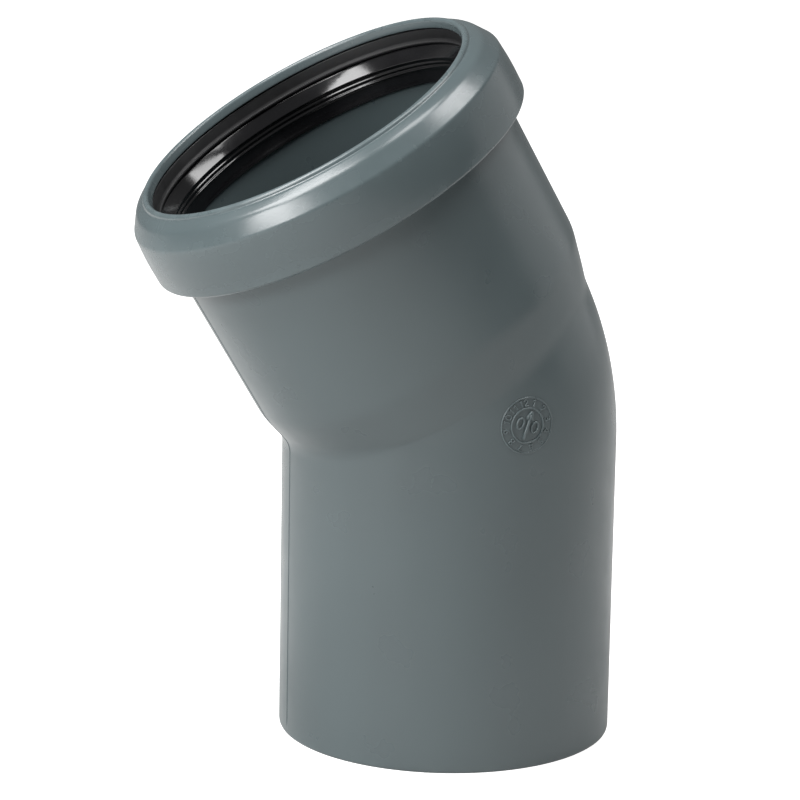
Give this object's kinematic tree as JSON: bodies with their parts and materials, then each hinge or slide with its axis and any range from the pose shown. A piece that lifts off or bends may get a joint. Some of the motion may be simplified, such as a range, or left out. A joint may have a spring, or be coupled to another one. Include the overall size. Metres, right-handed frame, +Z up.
{
  "type": "push-fit drain pipe bend",
  "caption": "Push-fit PVC drain bend that turns a pipe run by 30 degrees, with a plain spigot below and a rubber ring-seal socket above.",
  "frame": {"origin": "bottom centre of the part's box, in the plane of the spigot's end face; the spigot axis stands 24.8 mm towards +X from it", "axes": "+Z up along the spigot axis from its end into the fitting; the socket leans 30 degrees from +Z towards -X; XZ is the symmetry plane and Y runs across it"},
  "size_m": [0.1596, 0.1328, 0.2356],
  "materials": {
    "pvc_body": "semi-gloss moulded grey PVC",
    "pvc_cap": "semi-gloss moulded grey PVC",
    "seal_rubber": "smooth black rubber with lubricant sheen",
    "ring_plastic": "black plastic"
  },
  "bodies": {
    "root": {"bend_body": "pvc_body", "retaining_cap": "pvc_cap", "lip_seal": "seal_rubber", "seal_support_ring": "ring_plastic"}
  },
  "joints": []
}
